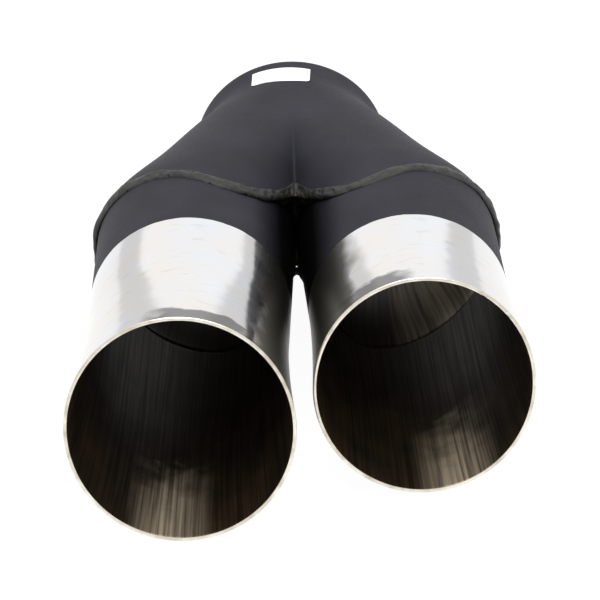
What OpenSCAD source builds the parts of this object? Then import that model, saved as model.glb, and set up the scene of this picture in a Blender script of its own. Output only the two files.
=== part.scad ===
// Twin-outlet exhaust Y-pipe. Two straight outlet tubes with belled mouths are butt welded to a pressed
// body that gathers them into one round socket for the pipe from the engine.
// The socket faces +Y, the outlets face -Y, and the pipe lies on its underside. Millimetres.

/* [Outlet tubes] */
// Outside radius of the outlet tubes
tube_r = 38.1; // [34:0.1:42]
// Wall of the outlet tubes
tube_wall = 1.6; // [1.2:0.1:2.5]
// Length of the left outlet tube along its axis
left_l = 132.5; // [110:0.5:170]
// Length of the right outlet tube along its axis
right_l = 103.5; // [90:0.5:140]
// Gap between the two tubes beside the weld's middle
tube_gap = 2.6; // [2.4:0.1:6]
// Angle that each tube turns outwards from straight ahead
splay = 2.9; // [0:0.1:5]

/* [Mouths] */
// How far the left mouth is belled out past the tube
left_bell = 4.7; // [1:0.1:8]
// How far the right mouth is belled out past the tube
right_bell = 3.4; // [1:0.1:8]
// Length of the belled stretch behind each mouth
bell_l = 65; // [40:1:80]
// Angle that each mouth leans back at its top
mouth_lean = 8.8; // [0:0.1:15]

/* [Body] */
// Length of the body's shaped stretch, from the outlet weld to the socket
shaped_l = 99; // [80:0.5:120]
// Length of the straight socket at the back
socket_l = 14; // [10:0.5:30]
// Outside radius of the socket
socket_r = 37.9; // [34:0.1:41]
// Wall of the body's sheet
body_wall = 2; // [1.5:0.1:3]
// How soon the lobes draw together on the top, where 1 is even and less is sooner
gather = 0.86; // [0.6:0.01:1]
// How soon they draw together underneath
under_gather = 1; // [0.8:0.01:1.1]
// How far the lobes are spread again in front of the socket
widen = 8; // [0:0.5:12]
// How sharp the valley between the lobes is on the top, where more is deeper
top_sharp = 5; // [3:0.5:7]
// How soon the valley on the top fades behind the weld, where more is sooner
top_fade = 4; // [1:0.5:5]
// How sharp it is underneath
under_sharp = 9; // [5:0.5:12]

/* [Weld] */
// Angle that the weld is mitred, with the outer side of each tube farther back
mitre = 24.5; // [10:0.5:30]
// How far the weld runs back into the crotch between the tubes
crotch_back = 43; // [30:1:45]
// Half the width of that run
crotch_w = 30; // [20:1:35]
// Width of the weld bead round the outlets
bead_w = 8; // [4:0.5:10]
// Height of the bead at its crown
bead_h = 2.2; // [1:0.1:3]
// How much the bead's height wavers along it
bead_waver = 0.5; // [0:0.1:0.8]

/* [Hidden] */

// The tube axes stand above the socket's axis, so that the socket and the left lip lie on one floor
axis_up = tube_r + left_bell - socket_r;
half_pitch = tube_r + tube_gap / 2;
weld_y = -socket_l - shaped_l;

// Steps round a quarter of a lobe, across the valley, along the body and across the crotch
lobe_steps = 10;
valley_steps = 26;
body_rows = 18;
plan_steps = 12;
// Part of each lobe's arc, in degrees from its top, that is drawn with the valley
crown_turn = 25;
// Steps along the bell, and its power, where more keeps it straight for longer
bell_steps = 12;
bell_power = 1.6;
// How far the bead stands off the flat sides that stand for the body's curves
seat = 0.12;
// How far the crotch's lip is set back from the sheet's front edge
lip_back = 0.3;
// How much thinner the sheet is on each side where it meets the socket's edge
seam = 0.1;
// Shares of the bead's half width and height where its section turns
shoulder_w = 0.6;
shoulder_h = 0.7;
// Shares of the bead's waver that its long and short waves have, and how many of each go round it
long_wave = 0.6;
short_wave = 0.4;
long_turns = 23;
short_turns = 41;
smooth = 96;

// Rises from 0 to 1 with level ends
function ease(t) = t * t * (3 - 2 * t);
// Sideways place of the lobe axes, t from 0 at the weld to 1 at the socket
function lobe_x(t, soon) = half_pitch * (1 - ease(pow(t, soon))) + widen * sin(180 * t * t);
// Radius of the upper lobes, and of the lower ones that reach as far out
function lobe_r(t) = tube_r + (socket_r - tube_r) * ease(t);
function under_r(t) = lobe_x(t, gather) + lobe_r(t) - lobe_x(t, under_gather);
// Height of the lobe axes
function lobe_z(t) = axis_up * (1 - ease(t));

// Height of the sheet at x across the body, over lobes of radius r at lx. It is the lobes' circle, with
// the way in from the lobe's axis held back more and more towards the middle so that the valley is round
function crown(x, lx, r, sharp) =
    let (off = abs(x) - lx, inward = off < 0 && lx > 0)
    let (held = inward ? off * (1 - pow(-off / lx, sharp) / (sharp + 1)) : off)
    sqrt(max(0, r * r - held * held));

// Points along one quarter lobe from its side, without its crown
function arc(x, r) = [
    for (i = [0 : lobe_steps - 1])
        let (turn = i * (90 - crown_turn) / lobe_steps) [x + r * cos(turn), r * sin(turn)]];

// Points across both crowns and the valley between them, from right to left
function band(x, r, sharp) = [
    for (i = [0 : valley_steps])
        let (across = (x + r * sin(crown_turn)) * (1 - 2 * i / valley_steps))
            [across, crown(across, x, r, sharp)]];

function backwards(list) = [for (i = [len(list) - 1 : -1 : 0]) list[i]];

// Outline of the body at t, set in by inset, anticlockwise from the right side seen from the front
function outline(t, inset) =
    let (x = lobe_x(t, gather), r = lobe_r(t) - inset, z = lobe_z(t))
    let (under_x = lobe_x(t, under_gather), low_r = under_r(t) - inset)
    let (side = arc(x, r), low_side = [for (p = arc(under_x, low_r)) if (p[1] > 0) p])
    concat(
        [for (p = side) [p[0], z + p[1]]],
        [for (p = band(x, r, top_sharp * pow(1 - t, top_fade))) [p[0], z + p[1]]],
        [for (p = backwards(side)) [-p[0], z + p[1]]],
        [for (p = low_side) [-p[0], z - p[1]]],
        [for (p = backwards(band(under_x, low_r, under_sharp))) [p[0], z - p[1]]],
        [for (p = backwards(low_side)) [p[0], z - p[1]]]);

// How far behind the outlet weld's mean line the weld is at x: mitred, and run back into the crotch
function lead(x) =
    tan(mitre) * (abs(x) - half_pitch) + crotch_back * pow(max(0, 1 - abs(x) / crotch_w), 2);

// One ring of points of the body at t
function ring(t, inset) = [
    for (p = outline(t, inset)) [p[0], weld_y + t * shaped_l + (1 - t) * lead(p[0]), p[1]]];

// Side faces between the rings of a closed tube of n points by rows rings, joined end to start
function tube_faces(n, rows) = [
    for (j = [0 : rows - 1], i = [0 : n - 1])
        let (a = j * n + i, b = j * n + (i + 1) % n, c = ((j + 1) % rows) * n)
        each [[a, b, c + (i + 1) % n], [a, c + (i + 1) % n, c + i]]];

// Radius of a belled tube of length l at s along it
function bell_r(l, bell, s) = tube_r + bell * pow(max(0, 1 - (l - s) / bell_l), bell_power);

// The outlet weld seen from above, as points from x = -reach to reach, set back by some way
function weld_plan(reach, back) = concat(
    [[-reach, weld_y + lead(reach) + back]],
    [for (i = [-plan_steps : plan_steps]) let (x = crotch_w * i / plan_steps) [x, weld_y + lead(x) + back]],
    [[reach, weld_y + lead(reach) + back]]);

// A straight outlet tube along +Z, left long at both ends
module belled_tube(l, bell, spare) {
    start = l - bell_l;
    run = (bell_l + spare) / bell_steps;
    outer = [for (i = [0 : bell_steps]) [bell_r(l, bell, start + i * run), start + i * run]];
    rotate_extrude($fn = smooth)
        polygon(concat([[tube_r, -spare]], outer,
            [for (i = [bell_steps : -1 : 0]) outer[i] - [tube_wall, 0]], [[tube_r - tube_wall, -spare]]));
}

// An outlet tube in its place: side is -1 on the left and 1 on the right
module outlet(side, l, bell) {
    spare = (tube_r + half_pitch) * tan(mitre) + crotch_back;
    reach = l + spare + bell_l;
    difference() {
        translate([side * half_pitch, weld_y, axis_up])
            rotate([90, 0, side * splay])
                belled_tube(l, bell, spare);
        // End at the weld, where the tube meets the body face to face
        translate([0, 0, -reach])
            linear_extrude(2 * reach)
                polygon(concat(weld_plan(reach, 0), [[reach, reach], [-reach, reach]]));
        // Leaning cut at the mouth
        translate([side * half_pitch, weld_y, axis_up])
            rotate([0, 0, side * splay])
                translate([0, -l, 0])
                    rotate([-mouth_lean, 0, 0])
                        translate([-reach, -reach, -reach]) cube([2 * reach, reach, 2 * reach]);
    }
}

module outlet_left() {
    color("silver") outlet(-1, left_l, left_bell);
}

module outlet_right() {
    color("silver") outlet(1, right_l, right_bell);
}

// The shaped sheet between the outlets and the socket: outer rings go back, inner rings come forward
module shaped_sheet() {
    outer = [for (j = [0 : body_rows]) ring(j / body_rows, seam * ease(j / body_rows))];
    inner = [for (j = [body_rows : -1 : 0]) ring(j / body_rows, body_wall - seam * ease(j / body_rows))];
    rings = concat(outer, inner);
    n = len(rings[0]);
    polyhedron(points = [for (r = rings) each r], faces = tube_faces(n, len(rings)), convexity = 6);
}

// The straight round socket that the pipe from the engine slides into
module socket() {
    rotate([90, 0, 0])
        rotate_extrude($fn = smooth)
            translate([socket_r - body_wall, 0]) square([body_wall, socket_l]);
}

// Turned-in lip that closes the crotch between the tubes, and that both tubes end against
module crotch_lip() {
    deep = half_pitch * tan(mitre) + crotch_back;
    intersection() {
        translate([0, weld_y + deep, 0])
            rotate([90, 0, 0])
                linear_extrude(2 * deep)
                    difference() {
                        intersection() {
                            polygon(outline(0, body_wall / 2));
                            square([2 * half_pitch, 4 * tube_r], center = true);
                        }
                        for (side = [-1, 1])
                            translate([side * half_pitch, axis_up])
                                circle(tube_r - tube_wall, $fn = smooth);
                    }
        translate([0, 0, -2 * tube_r])
            linear_extrude(4 * tube_r)
                polygon(concat(weld_plan(half_pitch, lip_back),
                    backwards(weld_plan(half_pitch, lip_back + body_wall))));
    }
}

module y_body() {
    color("dimgray") {
        shaped_sheet();
        crotch_lip();
        socket();
    }
}

// Height of the bead at turn, where long and short waves make it waver
function bead_lump(turn) =
    bead_h - bead_waver * (1 + long_wave * sin(turn * long_turns) + short_wave * sin(turn * short_turns)) / 2;

// Section of the bead at point i of the body's front edge, round from its foot on the tube
function bead_ring(i, front, back) =
    let (n = len(front), h = bead_lump(360 * i / n), half = bead_w / 2)
    let (f = front[i], b = back[i], along = front[(i + 1) % n] - front[(i + n - 1) % n])
    let (out = [along[2], 0, -along[0]] / norm([along[0], along[2]]), across = [0, half, 0])
    [
        f - across + out * seat,
        f + out * seat,
        b + out * seat,
        b - across * (1 - shoulder_w) + out * h * shoulder_h,
        f + out * h,
        f - across * shoulder_w + out * h * shoulder_h
    ];

module outlet_weld() {
    front = ring(0, 0);
    back = ring(bead_w / 2 / shaped_l, 0);
    n = len(front);
    rings = [for (i = [0 : n - 1]) bead_ring(i, front, back)];
    color("#3a3a36")
        polyhedron(points = [for (r = rings) each r], faces = tube_faces(len(rings[0]), n), convexity = 6);
}

y_body();
outlet_left();
outlet_right();
outlet_weld();
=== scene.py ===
"""Looks of a twin-outlet exhaust Y-pipe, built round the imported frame.

A pressed body under dark heat paint gathers two belled outlet tubes, polished in front, into one
socket. Every surface is worked out as an array of points in the row's own frame: the socket's mouth
is the origin, the outlets face -Y and Z is up. Sizes are in millimetres until a mesh is made.
"""

from __future__ import annotations

import logging
import math
import sys
from dataclasses import dataclass
from enum import Enum

import bpy
import numpy as np
from mathutils import Matrix, Vector

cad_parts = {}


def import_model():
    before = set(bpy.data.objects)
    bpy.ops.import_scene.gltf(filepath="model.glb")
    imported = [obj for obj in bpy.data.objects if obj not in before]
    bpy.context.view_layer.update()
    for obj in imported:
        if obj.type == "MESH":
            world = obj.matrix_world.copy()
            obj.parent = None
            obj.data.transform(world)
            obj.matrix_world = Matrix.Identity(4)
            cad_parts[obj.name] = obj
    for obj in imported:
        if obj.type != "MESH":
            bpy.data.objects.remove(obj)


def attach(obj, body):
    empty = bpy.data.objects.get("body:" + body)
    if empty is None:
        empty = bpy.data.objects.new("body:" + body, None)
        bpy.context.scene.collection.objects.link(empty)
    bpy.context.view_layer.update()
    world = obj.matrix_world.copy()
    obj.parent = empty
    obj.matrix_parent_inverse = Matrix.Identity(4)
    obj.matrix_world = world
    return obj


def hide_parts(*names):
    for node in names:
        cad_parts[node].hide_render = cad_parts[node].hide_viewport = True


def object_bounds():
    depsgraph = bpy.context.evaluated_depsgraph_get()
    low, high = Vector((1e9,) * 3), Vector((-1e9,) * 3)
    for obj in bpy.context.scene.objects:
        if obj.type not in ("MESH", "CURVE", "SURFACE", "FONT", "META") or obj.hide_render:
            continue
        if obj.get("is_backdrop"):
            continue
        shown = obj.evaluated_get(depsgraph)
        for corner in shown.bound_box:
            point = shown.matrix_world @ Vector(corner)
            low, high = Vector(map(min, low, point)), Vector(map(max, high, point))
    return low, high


Tree, Socket, Finish = bpy.types.NodeTree, bpy.types.NodeSocket, bpy.types.Material
LOG = logging.getLogger("exhaust_y_pipe")
METRE = 0.001
PHOTO_SIDE = 600
# The Mix node's inputs for two colours, and its settings for them.
COLOUR_A, COLOUR_B = 6, 7
COLOUR = {"out": 2, "data_type": "RGBA"}
# Noise mostly lies between these two values, so a Map Range from them fills its whole result.
SPREAD = {1: 0.3, 2: 0.7}


class Slot(Enum):
    """The record's material slots."""

    PAINT = "body_paint"
    STEEL = "polished_steel"
    WELD = "weld_bead"


class Kind(Enum):
    """The types of shader node in use."""

    PLACE = "ShaderNodeTexCoord"
    FIT = "ShaderNodeMapping"
    PARTS = "ShaderNodeSeparateXYZ"
    VECTOR = "ShaderNodeVectorMath"
    MATH = "ShaderNodeMath"
    SPAN = "ShaderNodeMapRange"
    MIX = "ShaderNodeMix"
    NOISE = "ShaderNodeTexNoise"
    CELLS = "ShaderNodeTexVoronoi"
    BUMP = "ShaderNodeBump"


class Side(Enum):
    """Which outlet a tube is, as the sign of its X."""

    LEFT = -1
    RIGHT = 1


def linear(code: str) -> tuple[float, float, float, float]:
    """Turns an sRGB hex colour to linear light.

    Args:
        code: six hex digits after a hash sign.

    Returns:
        Red, green and blue from 0 to 1, and an alpha of 1.
    """
    parts = [int(code[i : i + 2], 16) / 255 for i in (1, 3, 5)]
    light = [c / 12.92 if c <= 0.04045 else ((c + 0.055) / 1.055) ** 2.4 for c in parts]
    return (light[0], light[1], light[2], 1.0)


def ease(t: np.ndarray | float) -> np.ndarray | float:
    """Rises from 0 to 1 with level ends: three t squared less two t cubed."""
    return t * t * (3 - 2 * t)


def wander(count: int, knots: int, seed: int) -> np.ndarray:
    """Smooth random waver round a closed line.

    Random heights stand at even knots, and the line eases from each to the next.

    Args:
        count: number of samples round the line.
        knots: number of random heights round it.
        seed: seed of the random heights.

    Returns:
        One value from -1 to 1 for each sample.
    """
    heights = np.random.default_rng(seed).uniform(-1, 1, knots)
    place = np.arange(count) / count * knots
    low = place.astype(int) % knots
    share = ease(place - np.floor(place))
    return heights[low] * (1 - share) + heights[(low + 1) % knots] * share


@dataclass(frozen=True)
class PipeSizes:
    """Driving sizes in millimetres and degrees, the same as the solids have."""

    tube_r: float = 38.1
    tube_wall: float = 1.6
    tube_gap: float = 2.6
    splay: float = 2.9
    left_l: float = 132.5
    right_l: float = 103.5
    left_bell: float = 4.7
    right_bell: float = 3.4
    bell_l: float = 65.0
    bell_power: float = 1.6
    mouth_lean: float = 8.8
    shaped_l: float = 99.0
    socket_l: float = 14.0
    socket_r: float = 37.9
    body_wall: float = 2.0
    gather: float = 0.86
    under_gather: float = 1.0
    widen: float = 8.0
    top_sharp: float = 5.0
    top_fade: float = 4.0
    under_sharp: float = 9.0
    mitre: float = 24.5
    crotch_back: float = 43.0
    crotch_w: float = 30.0
    lip_back: float = 0.3

    @property
    def axis_up(self) -> float:
        """Height of the tube axes over the socket's axis."""
        return self.tube_r + self.left_bell - self.socket_r

    @property
    def half_pitch(self) -> float:
        """Distance of each tube's axis from the middle at the weld."""
        return self.tube_r + self.tube_gap / 2

    @property
    def weld_y(self) -> float:
        """Place of the outlet weld's mean line along Y."""
        return -self.socket_l - self.shaped_l

    def lead(self, x: np.ndarray) -> np.ndarray:
        """How far behind its mean line the weld is at x.

        It rises in a straight mitre from each tube's axis outwards, and a squared ramp runs it back
        into the crotch.

        Args:
            x: places across the body.

        Returns:
            One distance along Y for each x.
        """
        notch = np.maximum(0, 1 - np.abs(x) / self.crotch_w) ** 2
        slope = math.tan(math.radians(self.mitre))
        return slope * (np.abs(x) - self.half_pitch) + self.crotch_back * notch


def grid_mesh(
    name: str,
    points: np.ndarray,
    close_rows: bool = True,
    close_turn: bool = True,
    bands: np.ndarray | None = None,
) -> bpy.types.Object:
    """Makes a smooth mesh of quads over a grid of points.

    The signed volume, a sum of triple products over the faces, tells whether they point outwards.

    Args:
        name: the piece's name.
        points: array of rows by columns by 3, in millimetres.
        close_rows: joins the last row to the first.
        close_turn: joins the last column to the first.
        bands: material index of each row of faces.

    Returns:
        The object, at the origin and in metres, with its faces outwards if it is closed.
    """
    rows, columns = points.shape[:2]
    row = np.arange(rows if close_rows else rows - 1)[:, None]
    column = np.arange(columns if close_turn else columns - 1)[None, :]
    this, after = row * columns, (row + 1) % rows * columns
    beside = (column + 1) % columns
    corners = [this + column, this + beside, after + beside, after + column]
    faces = np.stack(np.broadcast_arrays(*corners), -1).reshape(-1, 4)
    flat = points.reshape(-1, 3) * METRE
    first, second, third, fourth = (flat[faces[:, i]] for i in range(4))
    volume = (first * np.cross(second, third)).sum() + (first * np.cross(third, fourth)).sum()
    if volume < 0:
        faces = faces[:, ::-1]
    mesh = bpy.data.meshes.new(name)
    mesh.from_pydata(flat.tolist(), [], faces.tolist())
    mesh.polygons.foreach_set("use_smooth", np.ones(len(faces), bool))
    if bands is not None:
        mesh.polygons.foreach_set("material_index", np.repeat(bands, column.size).astype(np.int32))
    mesh.update()
    made = bpy.data.objects.new(name, mesh)
    bpy.context.scene.collection.objects.link(made)
    return made


def dress(
    piece: bpy.types.Object, slot: Slot, finishes: list[Finish], *nodes: str
) -> None:
    """Gives a piece its materials and its body, hides the CAD nodes that it stands for, and logs its
    slot.

    Args:
        piece: the piece, in place.
        slot: the record's material slot of its finish, which is only logged.
        finishes: its materials, in the order of its face bands.
        nodes: names of the CAD nodes that it replaces.
    """
    for finish in finishes:
        piece.data.materials.append(finish)
    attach(piece, "root")
    if nodes:
        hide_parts(*nodes)
    LOG.info("%s: %d faces, %s", piece.name, len(piece.data.polygons), slot.value)


def per_metre(grain_mm: float) -> float:
    """Pattern scale, for coordinates in metres, that gives a grain of a size in millimetres."""
    return 1 / (grain_mm * METRE)


def link_inputs(tree: Tree, node: bpy.types.ShaderNode, inputs: dict) -> None:
    """Feeds a node's sockets.

    Args:
        tree: the material's node tree.
        node: the node.
        inputs: socket name or number to a value, or to the output socket that feeds it.
    """
    for key, value in inputs.items():
        if isinstance(value, Socket):
            tree.links.new(value, node.inputs[key])
        else:
            node.inputs[key].default_value = value


def add_node(
    tree: Tree, kind: Kind, inputs: dict, out: int | str = 0, **settings: object
) -> Socket:
    """Adds a shader node with its settings, values and links.

    Args:
        tree: the material's node tree.
        kind: the node's type.
        inputs: socket name or number to a value, or to the output socket that feeds it.
        out: name or number of the output socket to give back.
        settings: the node's own properties.

    Returns:
        The output socket. Its node has the others.
    """
    made = tree.nodes.new(kind.value)
    for name, value in settings.items():
        setattr(made, name, value)
    link_inputs(tree, made, inputs)
    return made.outputs[out]


def new_finish(name: str) -> tuple:
    """Starts a material with a Principled shader.

    Args:
        name: the finish's name.

    Returns:
        The material, its tree, the shader and the socket of Object coordinates.
    """
    finish = bpy.data.materials.new(name)
    finish.use_nodes = True
    tree = finish.node_tree
    place = add_node(tree, Kind.PLACE, {}, "Object")
    return finish, tree, tree.nodes["Principled BSDF"], place


@dataclass(frozen=True)
class HeatPaint:
    """High-heat enamel sprayed on sheet steel.

    It gives the eye one almost even blue-black, nearly matt, with a fine dry grain and a few dust
    specks. Deep in the crotch between the tubes it has painted shade: near-black, with less sheen.
    """

    sizes: PipeSizes
    # Whether it has painted shade deep in the crotch between the tubes.
    crevice_shaded: bool = True
    shade: str = "#29292f"
    light_shade: str = "#2f2f36"
    speck_shade: str = "#18181b"
    # Colour of the painted shade in the crotch.
    painted_shade_colour: str = "#050505"
    # The real grain is finer: this is as fine as the picture shows.
    grain_mm: float = 0.7
    grain_depth: float = 0.03
    cloud_mm: float = 16.0
    cloud_depth: float = 0.1
    speck_mm: float = 1.6
    # How much noise makes a speck, and how dark the specks are at most.
    speck_span: tuple[float, float] = (0.76, 0.8)
    speck_share: float = 0.35
    rough: tuple[float, float] = (0.5, 0.62)
    # Painted shade in the crotch: where it is full and gone across the middle, where it comes in along
    # Y at the crotch, and the lower sheen that it leaves.
    crevice_in: float = 6.0
    crevice_out: float = 17.0
    crevice_y: tuple[float, float] = (1.0, -4.0)
    level: float = 0.08
    crevice_level: float = 0.03

    def crevice_shade(self, tree: Tree, place: Socket) -> Socket:
        """Share of painted shade: full near the middle between the tubes, none behind the crotch.

        Args:
            tree: the material's node tree.
            place: Object coordinates.

        Returns:
            The share's socket, from 0 to 1.
        """
        across = add_node(tree, Kind.PARTS, {0: place})
        off = add_node(tree, Kind.MATH, {0: across}, operation="ABSOLUTE")
        start, end = self.crevice_out * METRE, self.crevice_in * METRE
        near = add_node(tree, Kind.SPAN, {0: off, 1: start, 2: end})
        crotch = (self.sizes.weld_y + float(self.sizes.lead(np.array(0.0)))) * METRE
        along = across.node.outputs[1]
        start, end = (crotch + y * METRE for y in self.crevice_y)
        ahead = add_node(tree, Kind.SPAN, {0: along, 1: start, 2: end})
        return add_node(tree, Kind.MATH, {0: near, 1: ahead}, operation="MULTIPLY")

    def wire(self, tree: Tree, place: Socket) -> dict:
        """Wires the paint.

        Args:
            tree: the material's node tree.
            place: Object coordinates.

        Returns:
            The shader's inputs by name.
        """
        grain = add_node(tree, Kind.NOISE, {0: place, "Scale": per_metre(self.grain_mm), "Detail": 4.0})
        cloud = add_node(tree, Kind.NOISE, {0: place, "Scale": per_metre(self.cloud_mm)})
        dust = add_node(tree, Kind.NOISE, {0: place, "Scale": per_metre(self.speck_mm), "Detail": 1.0})
        share = add_node(tree, Kind.SPAN, {0: cloud, **SPREAD})
        tones = {0: share, COLOUR_A: linear(self.shade), COLOUR_B: linear(self.light_shade)}
        colour = add_node(tree, Kind.MIX, tones, **COLOUR)
        start, end = self.speck_span
        speck = add_node(tree, Kind.SPAN, {0: dust, 1: start, 2: end, 4: self.speck_share})
        tones = {0: speck, COLOUR_A: colour, COLOUR_B: linear(self.speck_shade)}
        colour = add_node(tree, Kind.MIX, tones, **COLOUR)
        level: Socket | float = self.level
        # Painted shade: near-black and with a lower sheen deep in the crotch.
        if self.crevice_shaded:
            crevice_shade = self.crevice_shade(tree, place)
            tones = {0: crevice_shade, COLOUR_A: colour, COLOUR_B: linear(self.painted_shade_colour)}
            colour = add_node(tree, Kind.MIX, tones, **COLOUR)
            level = add_node(tree, Kind.SPAN, {0: crevice_shade, 3: self.level, 4: self.crevice_level})
        wave = add_node(tree, Kind.BUMP, {"Height": cloud, "Distance": self.cloud_depth * METRE})
        least, most = self.rough
        rough = add_node(tree, Kind.SPAN, {0: grain, **SPREAD, 3: least, 4: most})
        relief = {"Height": grain, "Distance": self.grain_depth * METRE, "Normal": wave}
        normal = add_node(tree, Kind.BUMP, relief)
        return {
            "Base Color": colour,
            "Roughness": rough,
            "Normal": normal,
            "Specular IOR Level": level,
        }

    def build(self) -> Finish:
        """Makes the material.

        Returns:
            The finish.
        """
        name = "crevice_shaded_heat_enamel" if self.crevice_shaded else "heat_enamel"
        finish, tree, shader, place = new_finish(name)
        link_inputs(tree, shader, self.wire(tree, place))
        return finish


@dataclass(frozen=True)
class TubeSkin:
    """Outside of an outlet tube: buffed stainless steel in front, heat paint next to the weld.

    Buffing leaves the steel mirror-like, with faint hairlines round the tube and a slightly wavy face.
    Just behind the lip a dark band is a painted reflection of the bell's flare, and the flank that
    faces the other tube has a painted dark olive reflection of that tube, with rougher steel there.
    """

    side: Side
    sizes: PipeSizes
    length: float
    paint_l: float
    # Inward range of the painted dark reflection band behind the lip.
    reflection_band: tuple[float, float]
    # Inward place where the painted dark reflection of the other tube starts on the inner flank.
    flank_from: float
    paint: HeatPaint
    edge_waver: float = 0.35
    edge_w: float = 0.15
    brush_mm: float = 6.0
    stain_mm: tuple[float, float, float] = (9.8, 4.9, 7.0)
    ragged: float = 3.0
    reflection_l: tuple[float, float] = (11.0, 8.5)
    # How far the painted reflection band fades at its inner and outer end, and the flank's painted
    # reflection at its edge.
    reflection_fade: tuple[float, float] = (4.0, 3.0)
    reflection_share: float = 0.8
    flank_fade: tuple[float, float] = (2.0, 2.5)
    flank_share: float = 0.9
    swell_mm: float = 13.0
    swell: float = 2.5
    tint_mm: float = 28.0
    smear_mm: tuple[float, float, float] = (9.0, 3.6, 9.0)
    # Real hairlines are finer: these are as fine as the picture shows.
    hairline_mm: tuple[float, float, float] = (6.6, 0.27, 6.6)
    hairline_depth: float = 0.003
    dent_mm: float = 14.0
    dent_depth: float = 0.12
    warm_steel: str = "#d9d5cf"
    cool_steel: str = "#d6d7db"
    smear_shade: str = "#b5afa4"
    # Colours of the painted dark reflections: the band behind the lip and the inner flank.
    reflection_shade: str = "#3d3d42"
    flank_reflection_shade: str = "#5f5b50"
    buffed_rough: tuple[float, float] = (0.08, 0.15)
    flank_rough: float = 0.34

    def tube_place(self, tree: Tree, place: Socket) -> Socket:
        """Turns Object coordinates to the tube's own: Y along its axis, from 0 at the weld.

        Args:
            tree: the material's node tree.
            place: Object coordinates.

        Returns:
            The socket of the tube's coordinates, in metres.
        """
        s = self.sizes
        start = Vector((self.side.value * s.half_pitch, s.weld_y, s.axis_up)) * METRE
        turn = (0.0, 0.0, self.side.value * math.radians(s.splay))
        fit = {0: place, "Location": start, "Rotation": turn}
        return add_node(tree, Kind.FIT, fit, vector_type="TEXTURE")

    def painted_reflections(self, tree: Tree, tube: Socket) -> tuple:
        """Wires the painted dark reflections near the mouth.

        Args:
            tree: the material's node tree.
            tube: the tube's own coordinates.

        Returns:
            The sockets of two shares from 0 to 1: of the painted reflection band just behind the lip,
            nearer the crotch, and of the painted reflection on the flank that faces the other tube.
        """
        across = add_node(tree, Kind.PARTS, {0: tube})
        along, up = across.node.outputs[1:3]
        way_in = -float(self.side.value)
        inward = add_node(tree, Kind.MATH, {0: across, 1: way_in}, operation="MULTIPLY")
        lean = math.tan(math.radians(self.sizes.mouth_lean))
        slant = add_node(tree, Kind.MATH, {0: up, 1: -lean, 2: along}, operation="MULTIPLY_ADD")
        fit = tuple(per_metre(grain) for grain in self.stain_mm)
        stretched = add_node(tree, Kind.FIT, {0: tube, "Scale": fit})
        cloud = add_node(tree, Kind.NOISE, {0: stretched, "Scale": 1.0, "Detail": 3.0})
        reach = self.ragged * METRE
        ragged = add_node(tree, Kind.SPAN, {0: cloud, **SPREAD, 3: -reach, 4: reach})
        way = add_node(tree, Kind.MATH, {0: slant, 1: ragged}, operation="ADD")
        behind, before = ((l - self.length) * METRE for l in self.reflection_l)
        near = add_node(tree, Kind.SPAN, {0: way, 1: behind, 2: before})
        low, high = (band * METRE for band in self.reflection_band)
        shifted = add_node(tree, Kind.MATH, {0: inward, 1: ragged}, operation="ADD")
        low_fade, high_fade = (fade * METRE for fade in self.reflection_fade)
        left = add_node(tree, Kind.SPAN, {0: shifted, 1: low - low_fade, 2: low + low_fade})
        start, end = high + high_fade, high - high_fade
        right = add_node(tree, Kind.SPAN, {0: shifted, 1: start, 2: end, 4: self.reflection_share})
        band = add_node(tree, Kind.MATH, {0: left, 1: right}, operation="MULTIPLY")
        swell = add_node(tree, Kind.NOISE, {0: tube, "Scale": per_metre(self.swell_mm), "Detail": 1.0})
        reach = self.swell * METRE
        drift = add_node(tree, Kind.SPAN, {0: swell, **SPREAD, 3: -reach, 4: reach})
        # Painted reflection: the flank that faces the other tube is darkened olive, as the other tube's
        # reflection.
        early, late = self.flank_fade
        start, end = (self.flank_from - early) * METRE, (self.flank_from + late) * METRE
        flank_place = add_node(tree, Kind.MATH, {0: inward, 1: drift}, operation="ADD")
        flank = add_node(tree, Kind.SPAN, {0: flank_place, 1: start, 2: end, 4: self.flank_share})
        return add_node(tree, Kind.MATH, {0: near, 1: band}, operation="MULTIPLY"), flank

    def steel(self, tree: Tree, tube: Socket) -> tuple:
        """Wires the buffed steel.

        Args:
            tree: the material's node tree.
            tube: the tube's own coordinates.

        Returns:
            The sockets of its colour, roughness and normal.
        """
        tint = add_node(tree, Kind.NOISE, {0: tube, "Scale": per_metre(self.tint_mm)})
        share = add_node(tree, Kind.SPAN, {0: tint, 1: 0.35, 2: 0.65})
        tones = {0: share, COLOUR_A: linear(self.warm_steel), COLOUR_B: linear(self.cool_steel)}
        colour = add_node(tree, Kind.MIX, tones, **COLOUR)
        fit = tuple(per_metre(grain) for grain in self.smear_mm)
        stretched = add_node(tree, Kind.FIT, {0: tube, "Scale": fit})
        cloud = add_node(tree, Kind.NOISE, {0: stretched, "Scale": 1.0, "Detail": 4.0})
        smear = add_node(tree, Kind.SPAN, {0: cloud, 1: 0.58, 2: 0.8, 4: 0.4})
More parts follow.
